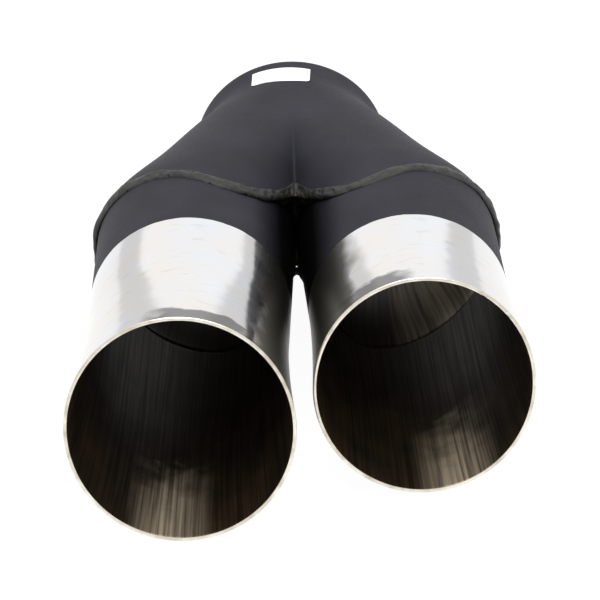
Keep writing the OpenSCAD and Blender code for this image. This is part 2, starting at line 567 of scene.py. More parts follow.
        # The smear is a random polishing tone; the band and the flank carry painted dark reflections.
        band, flank = self.painted_reflections(tree, tube)
        shades = ((smear, self.smear_shade), (band, self.reflection_shade), (flank, self.flank_reflection_shade))
        for part, shade in shades:
            tones = {0: part, COLOUR_A: colour, COLOUR_B: linear(shade)}
            colour = add_node(tree, Kind.MIX, tones, **COLOUR)
        fit = tuple(per_metre(grain) for grain in self.hairline_mm)
        round_tube = add_node(tree, Kind.FIT, {0: tube, "Scale": fit})
        hairline = add_node(tree, Kind.NOISE, {0: round_tube, "Scale": 1.0, "Detail": 3.0})
        dent = add_node(tree, Kind.NOISE, {0: tube, "Scale": per_metre(self.dent_mm), "Detail": 1.5})
        wave = add_node(tree, Kind.BUMP, {"Height": dent, "Distance": self.dent_depth * METRE})
        low, high = self.buffed_rough
        rough = add_node(tree, Kind.SPAN, {0: hairline, 1: 0.3, 2: 0.75, 3: low, 4: high})
        rough = add_node(tree, Kind.MIX, {0: flank, 2: rough, 3: self.flank_rough})
        relief = {"Height": hairline, "Distance": self.hairline_depth * METRE, "Normal": wave}
        return colour, rough, add_node(tree, Kind.BUMP, relief)

    def build(self) -> Finish:
        """Makes the material.

        The paint's colour comes in just before the metal ends, so that the edge has no pale line.

        Returns:
            The finish.
        """
        name = f"buffed_stainless_and_enamel_{self.side.name.lower()}"
        finish, tree, shader, place = new_finish(name)
        tube = self.tube_place(tree, place)
        along = add_node(tree, Kind.PARTS, {0: tube}, 1)
        brush = add_node(tree, Kind.NOISE, {0: place, "Scale": per_metre(self.brush_mm), "Detail": 3.0})
        waver = self.edge_waver * METRE
        drift = add_node(tree, Kind.SPAN, {0: brush, 1: 0.2, 2: 0.8, 3: -waver, 4: waver})
        shifted = add_node(tree, Kind.MATH, {0: along, 1: drift}, operation="ADD")
        edge, soft = -self.paint_l * METRE, self.edge_w * METRE
        painted = add_node(tree, Kind.SPAN, {0: shifted, 1: edge - soft, 2: edge})
        colour, rough, normal = self.steel(tree, tube)
        paint = self.paint.wire(tree, place)
        tones = {0: painted, COLOUR_A: colour, COLOUR_B: paint["Base Color"]}
        normals = {0: painted, 4: normal, 5: paint["Normal"]}
        link_inputs(tree, shader, {
            "Base Color": add_node(tree, Kind.MIX, tones, **COLOUR),
            "Metallic": add_node(tree, Kind.SPAN, {0: shifted, 1: edge + soft, 2: edge}),
            "Roughness": add_node(tree, Kind.MIX, {0: painted, 2: rough, 3: paint["Roughness"]}),
            "Normal": add_node(tree, Kind.MIX, normals, 1, data_type="VECTOR"),
            "Specular IOR Level": paint["Specular IOR Level"],
        })
        return finish


@dataclass(frozen=True)
class BrownedSteel:
    """Steel browned by exhaust heat, as the bores have it.

    It gives the eye a near-black brown with fine draw lines along the pipe, and, where the caller
    paints light, a pale brushed shine broken into streaks by the lines.
    """

    bore_mm: float = 36.5
    # The real draw lines are finer: these are as fine as the picture shows.
    line_mm: float = 0.9
    line_depth: float = 0.03
    # How the lines' noise darkens the brown, and how it breaks the brushed shine into streaks.
    dark_span: tuple[float, float] = (0.4, 0.66)
    dark_share: float = 0.75
    streak_span: tuple[float, float] = (0.64, 0.4)
    streak_least: float = 0.3
    metal: float = 0.3
    level: float = 0.08
    rough: tuple[float, float] = (0.42, 0.56)
    line_l_mm: float = 70.0
    patch_mm: float = 20.0
    brown: str = "#241e17"
    light_brown: str = "#3a2d1f"
    line_shade: str = "#100d0a"
    # Colour of the painted light.
    painted_light_shade: str = "#a99b85"

    def wire(
        self, tree: Tree, place: Socket, painted_light: Socket
    ) -> dict:
        """Wires the steel over the direction from the Y axis, so that its lines run through the bell.

        Args:
            tree: the material's node tree.
            place: coordinates in metres, with Y along the pipe.
            painted_light: share of painted light, shown as the pale brushed shine.

        Returns:
            The shader's inputs by name.
        """
        flat = add_node(tree, Kind.FIT, {0: place, "Scale": (1.0, 0.0, 1.0)})
        ray = add_node(tree, Kind.VECTOR, {0: flat}, operation="NORMALIZE")
        turn = self.bore_mm / self.line_mm
        wide = add_node(tree, Kind.FIT, {0: ray, "Scale": (turn, turn, turn)})
        way = add_node(tree, Kind.FIT, {0: place, "Scale": (0.0, per_metre(self.line_l_mm), 0.0)})
        drawn = add_node(tree, Kind.VECTOR, {0: wide, 1: way}, operation="ADD")
        line = add_node(tree, Kind.NOISE, {0: drawn, "Scale": 1.0, "Detail": 3.0})
        patch = add_node(tree, Kind.NOISE, {0: place, "Scale": per_metre(self.patch_mm), "Detail": 3.0})
        share = add_node(tree, Kind.SPAN, {0: patch, 1: 0.35, 2: 0.7})
        tones = {0: share, COLOUR_A: linear(self.brown), COLOUR_B: linear(self.light_brown)}
        colour = add_node(tree, Kind.MIX, tones, **COLOUR)
        start, end = self.dark_span
        dark = add_node(tree, Kind.SPAN, {0: line, 1: start, 2: end, 4: self.dark_share})
        start, end = self.streak_span
        streak = add_node(tree, Kind.SPAN, {0: line, 1: start, 2: end, 3: self.streak_least})
        # Painted light: the pale shine, in streaks along the draw lines.
        painted_shine = add_node(tree, Kind.MATH, {0: painted_light, 1: streak}, operation="MULTIPLY")
        for part, shade in ((dark, self.line_shade), (painted_shine, self.painted_light_shade)):
            tones = {0: part, COLOUR_A: colour, COLOUR_B: linear(shade)}
            colour = add_node(tree, Kind.MIX, tones, **COLOUR)
        least, most = self.rough
        relief = {"Height": line, "Distance": self.line_depth * METRE}
        return {
            "Base Color": colour,
            "Metallic": self.metal,
            "Roughness": add_node(tree, Kind.SPAN, {0: line, **SPREAD, 3: least, 4: most}),
            "Normal": add_node(tree, Kind.BUMP, relief),
            "Specular IOR Level": self.level,
        }


@dataclass(frozen=True)
class BodyInside:
    """Unpainted inside of the pressed body: browned steel, with painted light on its right side, which
    the right mouth shows.
    """

    lit_side_x: tuple[float, float] = (34.0, 50.0)
    lit_side_share: float = 1.0

    def build(self) -> Finish:
        """Makes the material.

        Returns:
            The finish.
        """
        finish, tree, shader, place = new_finish("browned_pressed_steel")
        across = add_node(tree, Kind.PARTS, {0: place})
        # Painted light: a pale streaky shine towards the right side.
        start, end = (x * METRE for x in self.lit_side_x)
        painted_light = add_node(tree, Kind.SPAN, {0: across, 1: start, 2: end, 4: self.lit_side_share})
        link_inputs(tree, shader, BrownedSteel().wire(tree, place, painted_light))
        return finish


@dataclass(frozen=True)
class TubeInside:
    """Inside of a tube: browned by heat, with painted light on its floor just behind the mouth."""

    skin: TubeSkin
    lit_floor_x: float
    lit_floor_w: tuple[float, float] = (3.0, 16.0)
    lit_floor_l: tuple[float, float] = (42.0, 12.0)
    lit_floor_z: tuple[float, float] = (-22.0, -33.0)
    # Size of the patches that make its far end ragged, and how far they reach.
    ragged_mm: float = 12.0

    def build(self) -> Finish:
        """Makes the material.

        Returns:
            The finish.
        """
        skin = self.skin
        finish, tree, shader, place = new_finish(f"heat_browned_steel_{skin.side.name.lower()}")
        tube = skin.tube_place(tree, place)
        across = add_node(tree, Kind.PARTS, {0: tube})
        along, up = across.node.outputs[1:3]
        # Painted light: a pale patch on the floor just inside the mouth, where the lamps shine in.
        mouth = -skin.length * METRE
        cloud = add_node(tree, Kind.NOISE, {0: tube, "Scale": per_metre(self.ragged_mm), "Detail": 3.0})
        reach = self.ragged_mm * METRE
        soft = add_node(tree, Kind.SPAN, {0: cloud, **SPREAD, 3: -reach, 4: reach})
        way = add_node(tree, Kind.MATH, {0: along, 1: soft}, operation="ADD")
        behind, before = (mouth + l * METRE for l in self.lit_floor_l)
        near = add_node(tree, Kind.SPAN, {0: way, 1: behind, 2: before})
        off = add_node(tree, Kind.MATH, {0: across, 1: self.lit_floor_x * METRE}, operation="SUBTRACT")
        off = add_node(tree, Kind.MATH, {0: off}, operation="ABSOLUTE")
        inner, outer = (w * METRE for w in self.lit_floor_w)
        band = add_node(tree, Kind.SPAN, {0: off, 1: outer, 2: inner})
        high, low = (z * METRE for z in self.lit_floor_z)
        floor = add_node(tree, Kind.SPAN, {0: up, 1: high, 2: low})
        share = add_node(tree, Kind.MATH, {0: near, 1: band}, operation="MULTIPLY")
        share = add_node(tree, Kind.MATH, {0: share, 1: floor}, operation="MULTIPLY")
        link_inputs(tree, shader, BrownedSteel().wire(tree, tube, share))
        return finish


@dataclass(frozen=True)
class CutRim:
    """Cut and deburred edge of stainless sheet: bright and slightly warm, with worn places."""

    bright: str = "#efe9dd"
    worn: str = "#c9bfae"
    wear_mm: float = 5.0
    wear_depth: float = 0.05
    rough: tuple[float, float] = (0.22, 0.4)

    def build(self) -> Finish:
        """Makes the material.

        Returns:
            The finish.
        """
        finish, tree, shader, place = new_finish("deburred_stainless_edge")
        wear = add_node(tree, Kind.NOISE, {0: place, "Scale": per_metre(self.wear_mm), "Detail": 4.0})
        share = add_node(tree, Kind.SPAN, {0: wear, 1: 0.4, 2: 0.7})
        tones = {0: share, COLOUR_A: linear(self.bright), COLOUR_B: linear(self.worn)}
        least, most = self.rough
        relief = {"Height": wear, "Distance": self.wear_depth * METRE}
        link_inputs(tree, shader, {
            "Base Color": add_node(tree, Kind.MIX, tones, **COLOUR),
            "Metallic": 1.0,
            "Roughness": add_node(tree, Kind.SPAN, {0: wear, **SPREAD, 3: least, 4: most}),
            "Normal": add_node(tree, Kind.BUMP, relief),
        })
        return finish


@dataclass(frozen=True)
class PaintedWeld:
    """Weld bead under a thin coat of the same paint: olive black, smeared, with pinholes."""

    dark: str = "#161614"
    light: str = "#282825"
    hole_shade: str = "#0d0d0c"
    scale_mm: float = 2.4
    hole_mm: float = 3.4
    hole_span: tuple[float, float] = (0.24, 0.10)
    depth: float = 0.4
    level: float = 0.35
    rough: tuple[float, float] = (0.4, 0.6)

    def build(self) -> Finish:
        """Makes the material.

        Returns:
            The finish.
        """
        finish, tree, shader, place = new_finish("painted_weld_bead")
        scale = add_node(tree, Kind.NOISE, {0: place, "Scale": per_metre(self.scale_mm), "Detail": 4.0})
        cell = add_node(tree, Kind.CELLS, {0: place, "Scale": per_metre(self.hole_mm)})
        start, end = self.hole_span
        hole = add_node(tree, Kind.SPAN, {0: cell, 1: start, 2: end})
        share = add_node(tree, Kind.SPAN, {0: scale, 1: 0.35, 2: 0.68})
        tones = {0: share, COLOUR_A: linear(self.dark), COLOUR_B: linear(self.light)}
        colour = add_node(tree, Kind.MIX, tones, **COLOUR)
        height = add_node(tree, Kind.SPAN, {0: hole, 3: 1.0, 4: 0.0})
        depth = self.depth * METRE
        lumps = add_node(tree, Kind.BUMP, {"Height": scale, "Distance": depth})
        tones = {0: hole, COLOUR_A: colour, COLOUR_B: linear(self.hole_shade)}
        least, most = self.rough
        relief = {"Height": height, "Distance": depth, "Normal": lumps}
        link_inputs(tree, shader, {
            "Base Color": add_node(tree, Kind.MIX, tones, **COLOUR),
            "Roughness": add_node(tree, Kind.SPAN, {0: scale, **SPREAD, 3: least, 4: most}),
            "Normal": add_node(tree, Kind.BUMP, relief),
            "Specular IOR Level": self.level,
        })
        return finish


@dataclass(frozen=True)
class LabelPaper:
    """Coated white label paper: matt, with a faint fibre and a slightly soiled face."""

    clean: str = "#f1f1ee"
    soiled: str = "#dfded9"
    # The real fibre is finer: this is as fine as the picture shows.
    fibre_mm: float = 0.5
    fibre_depth: float = 0.02
    soil_mm: float = 5.0
    rough: float = 0.62

    def build(self) -> Finish:
        """Makes the material.

        Returns:
            The finish.
        """
        finish, tree, shader, place = new_finish("white_label_paper")
        fibre = add_node(tree, Kind.NOISE, {0: place, "Scale": per_metre(self.fibre_mm), "Detail": 3.0})
        soil = add_node(tree, Kind.NOISE, {0: place, "Scale": per_metre(self.soil_mm), "Detail": 3.0})
        share = add_node(tree, Kind.SPAN, {0: soil, 1: 0.45, 2: 0.75})
        tones = {0: share, COLOUR_A: linear(self.clean), COLOUR_B: linear(self.soiled)}
        relief = {"Height": fibre, "Distance": self.fibre_depth * METRE}
        link_inputs(tree, shader, {
            "Base Color": add_node(tree, Kind.MIX, tones, **COLOUR),
            "Roughness": self.rough,
            "Normal": add_node(tree, Kind.BUMP, relief),
        })
        return finish


@dataclass(frozen=True)
class PlainFloor:
    """Plain pale floor of opal acrylic lit from below, which keeps its shadows faint."""

    shade: str = "#555555"
    glow: float = 0.95
    rough: float = 0.9

    def build(self) -> Finish:
        """Makes the material.

        Returns:
            The finish.
        """
        finish, tree, shader, _place = new_finish("opal_acrylic_floor")
        link_inputs(tree, shader, {
            "Base Color": linear(self.shade),
            "Roughness": self.rough,
            "Emission Color": linear("#ffffff"),
            "Emission Strength": self.glow,
        })
        return finish


@dataclass
class BodyForm:
    """The pressed body's form: where its lobes are and how high its sheet stands."""

    sizes: PipeSizes
    lobe_steps: int = 44
    valley_steps: int = 130
    crown_turn: float = 25.0

    def lobe_x(self, t: np.ndarray | float, soon: float) -> np.ndarray | float:
        """Sideways place of the lobe axes, t from 0 at the weld to 1 at the socket."""
        spread_out = self.sizes.widen * np.sin(math.pi * t * t)
        return self.sizes.half_pitch * (1 - ease(t**soon)) + spread_out

    def lobe_r(self, t: np.ndarray | float) -> np.ndarray | float:
        """Radius of the upper lobes: eased from the tubes' to the socket's."""
        s = self.sizes
        return s.tube_r + (s.socket_r - s.tube_r) * ease(t)

    def under_r(self, t: np.ndarray | float) -> np.ndarray | float:
        """Radius of the lower lobes, which reach as far out as the upper ones do."""
        s = self.sizes
        return self.lobe_x(t, s.gather) + self.lobe_r(t) - self.lobe_x(t, s.under_gather)

    def lobe_z(self, t: np.ndarray | float) -> np.ndarray | float:
        """Height of the lobe axes, eased down to the socket's axis."""
        return self.sizes.axis_up * (1 - ease(t))

    def top_sharp(self, t: np.ndarray | float) -> np.ndarray | float:
        """How sharp the valley on the top is at t."""
        return self.sizes.top_sharp * (1 - t) ** self.sizes.top_fade

    def crown(
        self, x: np.ndarray, lx: np.ndarray | float, r: np.ndarray | float, sharp: np.ndarray | float
    ) -> np.ndarray:
        """Height of the sheet over the lobe axes at x.

        It is the lobes' circle, with the way in from the lobe's axis held back more and more towards
        the middle, so that the valley is round.

        Args:
            x: places across the body, in millimetres.
            lx: sideways place of the lobe axes.
            r: radius of the lobes.
            sharp: how sharp the valley is.

        Returns:
            One height for each x.
        """
        off = np.abs(x) - lx
        share = np.clip(-off / np.maximum(lx, 1e-9), 0, 1)
        held = off * np.where(off < 0, 1 - share**sharp / (sharp + 1), 1)
        return np.sqrt(np.maximum(r * r - held * held, 0))

    def half_outline(self, lx: float, r: float, sharp: float) -> np.ndarray:
        """Upper or lower half of the outline over the lobe axes, from right to left.

        It is an even arc up each outer flank, with the crown between them at even steps across.

        Args:
            lx: sideways place of the lobe axes.
            r: radius of the lobes.
            sharp: how sharp the valley is.

        Returns:
            Array of points by place across and height.
        """
        crown_turn = math.radians(self.crown_turn)
        turn = np.arange(self.lobe_steps) / self.lobe_steps * (math.pi / 2 - crown_turn)
        across = (lx + r * math.sin(crown_turn)) * np.linspace(1, -1, self.valley_steps + 1)
        arc_x, arc_z = lx + r * np.cos(turn), r * np.sin(turn)
        xs = np.concatenate([arc_x, across, -arc_x[::-1]])
        zs = np.concatenate([arc_z, self.crown(across, lx, r, sharp), arc_z[::-1]])
        return np.stack([xs, zs], -1)

    def outline(self, t: float, inset: float) -> np.ndarray:
        """Closed outline of the body across Y at t.

        It runs up the right lobe, across the valley and down the left lobe, and back underneath.

        Args:
            t: place along the body.
            inset: how far the outline is set in from the outer face.

        Returns:
            Array of points by X and Z.
        """
        s = self.sizes
        over_x, under_x = self.lobe_x(t, s.gather), self.lobe_x(t, s.under_gather)
        over = self.half_outline(over_x, self.lobe_r(t) - inset, self.top_sharp(t))
        under = self.half_outline(under_x, self.under_r(t) - inset, s.under_sharp)
        under = under[::-1][1:-1] * np.array([1, -1])
        return np.concatenate([over, under]) + np.array([0, self.lobe_z(t)])

    def ring(self, t: float, inset: float) -> np.ndarray:
        """The outline at t, as points in space: the weld's lead fades out towards the socket.

        Args:
            t: place along the body.
            inset: how far the outline is set in from the outer face.

        Returns:
            Array of points by 3.
        """
        flat = self.outline(t, inset)
        s = self.sizes
        y = s.weld_y + t * s.shaped_l + (1 - t) * s.lead(flat[:, 0])
        return np.stack([flat[:, 0], y, flat[:, 1]], -1)

    def top(self, x: np.ndarray, y: np.ndarray) -> np.ndarray:
        """Height of the body's or the socket's top: the crown at the place along the body.

        Args:
            x: places across the body.
            y: places along it.

        Returns:
            One height for each point.
        """
        s = self.sizes
        lead = s.lead(x)
        t = np.clip((y - s.weld_y - lead) / (s.shaped_l - lead), 0, 1)
        lx, r = self.lobe_x(t, s.gather), self.lobe_r(t)
        return self.lobe_z(t) + self.crown(x, lx, r, self.top_sharp(t))


@dataclass
class Body:
    """The pressed body with its socket and the lip that closes the crotch."""

    form: BodyForm
    rows: int = 80
    socket_rows: int = 12
    edge_rows: int = 5
    edge_round: float = 0.35
    soften: int = 4
    lip_reach: float = 0.98
    lip_steps: int = 161
    lip_least: float = 0.05

    def sheet(self, inset: float) -> np.ndarray:
        """Rings of one face from the weld to the socket's edge.

        Pressing leaves no sharp crease where the sheet meets the socket, so each ring near it is the
        mean of its neighbours in place across and height, and keeps its own along.

        Args:
            inset: how far the face is set in from the outer one.

        Returns:
            Array of rings by points by 3.
        """
        s = self.form.sizes
        rings = [self.form.ring(t, inset) for t in np.linspace(0, 1, self.rows)]
        straight = np.linspace(0, s.socket_l - self.edge_round, self.socket_rows)[1:]
        rings = np.array(rings + [rings[-1] + np.array([0, d, 0]) for d in straight])
        soft, k = rings.copy(), self.soften
        for row in range(self.rows - 1 - 2 * k, self.rows + k):
            soft[row, :, ::2] = rings[row - k : row + k + 1, :, ::2].mean(0)
        return soft

    def edge(self, near: np.ndarray, far: np.ndarray, out: float) -> np.ndarray:
        """Rings over the sheet's cut edge, rounded over from one face to the other.

        Args:
            near: last ring of the face that it leaves.
            far: first ring of the face that it reaches.
            out: how far the edge stands out along Y.

        Returns:
            Array of rings by points by 3.
        """
        turn = np.linspace(0, math.pi, self.edge_rows + 2)[1:-1, None, None]
        share = (1 - np.cos(turn)) / 2
        return near * (1 - share) + far * share + np.sin(turn) * np.array([0, out, 0])

    def shell(self) -> tuple[np.ndarray, np.ndarray]:
        """Works out the closed sheet: back outside, round the socket's edge, and forward inside.

        Returns:
            Its rings, and the material index of each row of faces.
        """
        outer, inner = self.sheet(0), self.sheet(self.form.sizes.body_wall)[::-1]
        back = self.edge(outer[-1], inner[0], self.edge_round)
        front = self.edge(inner[-1], outer[0], -self.edge_round)
        parts = (outer, back, inner, front)
        bands = np.repeat([0, 0, 1, 1], [len(part) for part in parts])
        return np.concatenate(parts), bands

    def lip(self, sign: int) -> np.ndarray:
        """Block of the crotch lip above or below the middle, as a closed tube of four-sided rings.

        Each ring goes round the lip's section at one x: from the tube's bore, or the middle where
        neither bore reaches, up to the sheet.

        Args:
            sign: 1 above the middle and -1 below it.

        Returns:
            Array of rings by 4 by 3.
        """
        s, form = self.form.sizes, self.form
        reach = s.half_pitch * self.lip_reach
        x = np.linspace(-reach, reach, self.lip_steps)
        bore = s.tube_r - s.tube_wall
        gap = s.half_pitch - np.abs(x)
        near = np.sqrt(np.maximum(bore**2 - gap**2, 0))
        sharp = s.top_sharp if sign > 0 else s.under_sharp
        far = form.crown(x, s.half_pitch, s.tube_r - s.body_wall / 2, sharp)
        near = np.minimum(near, far - self.lip_least)
        z_near, z_far = s.axis_up + sign * near, s.axis_up + sign * far
        front = s.weld_y + s.lead(x) + s.lip_back
        back = front + s.body_wall
        corners = [(front, z_near), (front, z_far), (back, z_far), (back, z_near)]
        rings = [np.stack([x, y, z], -1) for y, z in corners]
        return np.stack(rings, 1)

    def build(self, finishes: list[Finish], crevice_shaded: Finish) -> None:
        """Makes the body's pieces.

        Args:
            finishes: the sheet's, for its outside and its inside.
            crevice_shaded: the crotch lip's, with painted shade deep in the crotch.
        """
        points, bands = self.shell()
        shell = grid_mesh("pressed_body", points, bands=bands)
        dress(shell, Slot.PAINT, finishes, "y_body")
        for sign, name in ((1, "crotch_lip_top"), (-1, "crotch_lip_under")):
            lip = grid_mesh(name, self.lip(sign), close_rows=False)
            dress(lip, Slot.PAINT, [crevice_shaded])


@dataclass
class OutletTube:
    """One outlet tube: straight, then belled to a mouth that leans back."""

    side: Side
    sizes: PipeSizes
    length: float
    bell: float
    node: str
    # Nicks are at degrees round the mouth. Depth and height are in millimetres, the rest in radians.
    nicks: tuple[float, ...] = ()
    nick_depth: float = 0.9
    nick_w: float = 0.018
    burr_height: float = 0.5
    burr_off: float = 0.035
    burr_w: float = 0.014
    turns: int = 320
    rows: int = 90
    rim_rows: int = 9
    browned_rows: int = 3
    rim_round: float = 0.45
    rim_waver: float = 0.12
    waver_knots: int = 36
    mouth_steps: int = 6
    weld_steps: int = 20

    def radius(self, along: np.ndarray) -> np.ndarray:
        """Outside radius along the tube: the bell grows with a power of its own way.

        Args:
            along: ways along the tube.

        Returns:
            One radius for each way.
        """
        s = self.sizes
        way = np.maximum(0, 1 - (self.length - along) / s.bell_l)
        return s.tube_r + self.bell * way**s.bell_power

    def mouth(self, turn: np.ndarray, wall: float) -> np.ndarray:
        """Way along the tube to the leaning mouth: its length less height times lean.

        It is found by fixed-point steps, because the bell's height depends on the way itself.

        Args:
            turn: angles round the tube.
            wall: how far the face is set in from the outer one.

        Returns:
            One way for each angle.
        """
        lean = math.tan(math.radians(self.sizes.mouth_lean))
        along = np.full_like(turn, self.length)
        for _ in range(self.mouth_steps):
            along = self.length - (self.radius(along) - wall) * np.sin(turn) * lean
        return along

    def weld_end(self, turn: np.ndarray, wall: float) -> np.ndarray:
        """Way along the tube to the weld, where its Y is the weld line's, by fixed-point steps.

        Args:
            turn: angles round the tube.
            wall: how far the face is set in from the outer one.

        Returns:
            One way for each angle.
        """
        s = self.sizes
        c = self.side.value * math.radians(s.splay)
        lx = (s.tube_r - wall) * np.cos(turn)
        along = lx * math.tan(c)
        for _ in range(self.weld_steps):
            x = self.side.value * s.half_pitch + math.cos(c) * lx + math.sin(c) * along
            along = (math.sin(c) * lx - s.lead(x)) / math.cos(c)
        return along

    def place(self, along: np.ndarray, r: np.ndarray, turn: np.ndarray) -> np.ndarray:
        """Points of the tube from its own cylinder coordinates: turned outwards by the splay.

        Args:
            along: ways along the tube.
            r: radii.
            turn: angles round the tube.

        Returns:
            Array of points, with X, Y and Z last.
        """
        s = self.sizes
        c = self.side.value * math.radians(s.splay)
        lx, lz = r * np.cos(turn), r * np.sin(turn)
        x = self.side.value * s.half_pitch + math.cos(c) * lx + math.sin(c) * along
        y = s.weld_y + math.sin(c) * lx - math.cos(c) * along
        return np.stack([x, y, s.axis_up + lz], -1)

    def face(self, wall: float) -> np.ndarray:
        """Rows of the outer or inner face from the weld to the mouth, closer at the mouth by a sine.

        Args:
            wall: how far the face is set in from the outer one.

        Returns:
            Array of rows by points by 3.
        """
        turn = np.linspace(0, 2 * math.pi, self.turns, endpoint=False)
        start, end = self.weld_end(turn, wall), self.mouth(turn, wall)
        share = np.sin(np.linspace(0, math.pi / 2, self.rows))[:, None]
        along = start + (end - start) * share
        return self.place(along, self.radius(along) - wall, turn[None, :] + 0 * along)

    def rim(self, outer: np.ndarray, inner: np.ndarray) -> np.ndarray:
        """Rows over the cut edge: half an ellipse between both faces, and a burr beside each nick.

        Args:
            outer: last row of the outer face.
            inner: last row of the inner face.

        Returns:
            Array of rows by points by 3.
        """
        c = self.side.value * math.radians(self.sizes.splay)
        lean = math.radians(self.sizes.mouth_lean)
        out = np.array([math.sin(c) * math.cos(lean), -math.cos(c) * math.cos(lean), math.sin(lean)])
        turn = np.linspace(0, 2 * math.pi, self.turns, endpoint=False)
        seed = 11 + self.side.value
        height = self.rim_round + self.rim_waver * wander(self.turns, self.waver_knots, seed)
        for at in self.nicks:
            off = (turn - math.radians(at) + math.pi) % (2 * math.pi) - math.pi
            height -= self.nick_depth * np.exp(-((off / self.nick_w) ** 2))
            height += self.burr_height * np.exp(-(((off - self.burr_off) / self.burr_w) ** 2))
        arc = np.linspace(0, math.pi, self.rim_rows + 2)[1:-1, None, None]
        share = (1 - np.cos(arc)) / 2
        return outer * (1 - share) + inner * share + np.sin(arc) * height[None, :, None] * out

    def build(
        self, skin: Finish, edge: Finish, inside: Finish
    ) -> None:
        """Makes the tube.

        Args:
            skin: the outside's finish.
            edge: the cut rim's.
            inside: the inside's, which starts on the rim's last rows.
        """
        outer, inner = self.face(0), self.face(self.sizes.tube_wall)
        rim = self.rim(outer[-1], inner[-1])
        points = np.concatenate([outer, rim, inner[::-1]])
        bands = np.zeros(len(points), int)
        browned = len(outer) + len(rim) - self.browned_rows
        bands[len(outer) - 1 : browned] = 1
        bands[browned:] = 2
        tube = grid_mesh(f"{self.side.name.lower()}_outlet_tube", points, bands=bands)
        dress(tube, Slot.STEEL, [skin, edge, inside], self.node)


@dataclass
class WeldBead:
    """The bead round both outlets, laid along the body's front edge."""

    form: BodyForm
    half_w: float = 3.5
    height: float = 1.5
    stations: int = 1500
    section: int = 20
    fill: int = 13
    lump_height: float = 0.28
    lump_w: float = 0.14
    sunk: float = 0.12
    root: float = 0.6

    def path(self, t: float) -> np.ndarray:
        """The body's ring at t, at even steps of the front edge's own length.

        It is smoothed by bell-curve weights over a few millimetres, because the weld fills the sharp
        corner of the crotch.

        Args:
            t: place along the body.

        Returns:
            Array of stations by 3.
        """
        front = self.form.ring(0, 0)
        closed = np.vstack([front, front[:1]])
        way = np.concatenate([[0], np.cumsum(np.linalg.norm(np.diff(closed, axis=0), axis=1))])
        even = np.linspace(0, way[-1], self.stations, endpoint=False)
        ring = self.form.ring(t, 0)
        ring = np.vstack([ring, ring[:1]])
        line = np.stack([np.interp(even, way, ring[:, i]) for i in range(3)], -1)
        reach = 3 * self.fill
        shifts = np.arange(-reach, reach + 1)
        weights = np.exp(-((shifts / self.fill) ** 2) / 2)
        weights /= weights.sum()
        return sum(weight * np.roll(line, shift, 0) for weight, shift in zip(weights, shifts))

    def lumps(self, turn: np.ndarray) -> np.ndarray:
        """Small lumps over the bead: wavers along it, each strongest at its own place across it.

        Args:
            turn: angles over the bead's section.

        Returns:
            Array of stations by angles.
        """
        field = np.zeros((self.stations, len(turn)))
        lumps = ((0.2, 210, 1), (0.4, 150, 2), (0.55, 190, 4), (0.7, 130, 6), (0.85, 230, 7))
        for at, knots, seed in lumps:
            across = np.exp(-(((turn / math.pi - at) / self.lump_w) ** 2))
            field += wander(self.stations, knots, seed)[:, None] * across[None, :]
        return field

    def points(self) -> np.ndarray:
        """Stations of the bead's section.

        The section is a half ellipse over a base that follows the tubes in front and the body
        behind. Its height, width and place wander, and small lumps cover it.

        Returns:
            Array of stations by points by 3.
        """
        front, back = self.path(0), self.path(self.half_w / self.form.sizes.shaped_l)
        along = np.roll(front, -1, 0) - np.roll(front, 1, 0)
        out = np.stack([along[:, 2], np.zeros(len(along)), -along[:, 0]], -1)
        out /= np.linalg.norm(out, axis=1)[:, None]
        # Each waver has its knots round the bead and its seed.
        n = self.stations
        lift = self.height * (0.85 + 0.3 * wander(n, 46, 5) + 0.15 * wander(n, 14, 9))
        width = 1 + 0.2 * wander(n, 60, 21) + 0.12 * wander(n, 20, 13)
        drift = 0.8 * wander(n, 26, 34)
        turn = np.linspace(0, math.pi, self.section)
        across = -np.cos(turn)
        y = across[None, :] * self.half_w * width[:, None] + drift[:, None] * np.sin(turn)[None, :]
        behind = np.clip(y / self.half_w, 0, 1)[..., None]
        step = np.array([0, self.half_w, 0])
        base = front[:, None, :] + (back - step - front)[:, None, :] * behind
        lumpy = lift[:, None] + self.lump_height * self.lumps(turn)
        up = np.sin(turn)[None, :] ** 0.7 * lumpy - self.sunk
        over = base + out[:, None, :] * up[..., None]
        over[..., 1] += y
        root = front - out * self.root
        return np.concatenate([over, root[:, None, :]], 1)

    def build(self, finish: Finish) -> None:
        """Makes the bead."""
        bead = grid_mesh("weld_round_outlets", self.points())
        dress(bead, Slot.WELD, [finish], "outlet_weld")


